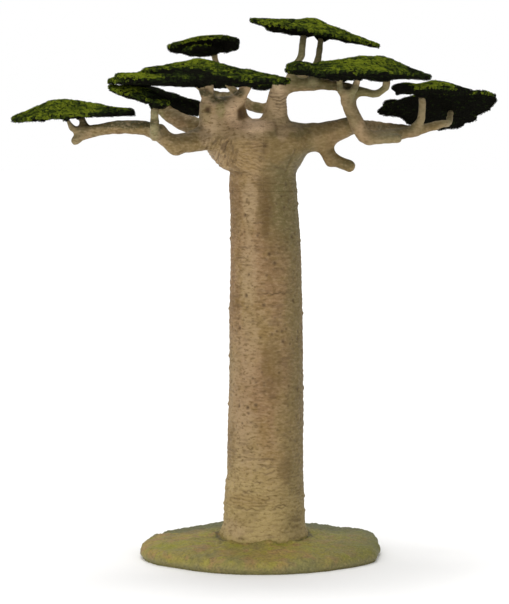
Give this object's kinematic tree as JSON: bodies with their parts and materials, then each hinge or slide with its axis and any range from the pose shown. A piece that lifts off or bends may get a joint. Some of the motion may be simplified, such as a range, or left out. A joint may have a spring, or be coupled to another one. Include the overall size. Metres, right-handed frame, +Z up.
{
  "type": "model baobab tree",
  "caption": "Free-standing moulded display model of a baobab: a tall smooth trunk, level boughs with flat pads of foliage on short twigs, and an oval plate of ground that it stands on.",
  "frame": {"origin": "flat underside of the ground plate, straight below the middle of the trunk's foot", "axes": "+Z up the trunk, +X to the crown's right, -Y to its front"},
  "size_m": [0.2686, 0.1755, 0.298],
  "materials": {
    "bark": "painted moulded plastic, matt tan brown with darker washed-in creases",
    "foliage": "painted moulded leaf relief, bright green over near-black green",
    "ground": "painted moulded plastic, matt mottled olive"
  },
  "bodies": {
    "root": {"ground_plate": "ground", "trunk": "bark", "far_left_twig_inner": "bark", "far_left_twig_outer": "bark", "front_arm": "bark", "front_arm_tip": "bark", "front_stem": "bark", "left_bough": "bark", "left_bough_outer": "bark", "left_cut_stub": "bark", "left_front_twig": "bark", "left_rear_bough": "bark", "left_upright": "bark", "left_upright_tip": "bark", "left_upright_twig": "bark", "middle_upright": "bark", "middle_upright_tip": "bark", "rear_left_bough": "bark", "rear_left_twig": "bark", "rear_left_twig_outer": "bark", "rear_right_bough": "bark", "rear_right_twig": "bark", "rear_stem": "bark", "right_bough": "bark", "right_bough_outer": "bark", "right_cut_stub": "bark", "right_fork_left": "bark", "right_fork_right": "bark", "right_rear_bough": "bark", "right_stub": "bark", "right_stub_end": "bark", "right_twig_inner": "bark", "right_twig_outer": "bark", "right_upright": "bark", "stem_twig_left": "bark", "top_twig_left": "bark", "top_twig_right": "bark", "upright_bridge": "bark", "foliage_far_left": "foliage", "foliage_left_centre": "foliage", "foliage_left_front": "foliage", "foliage_left_rear": "foliage", "foliage_rear_left": "foliage", "foliage_rear_right": "foliage", "foliage_right_centre": "foliage", "foliage_right_lower": "foliage", "foliage_right_upper": "foliage", "foliage_top": "foliage", "foliage_upper_left": "foliage"}
  },
  "joints": []
}
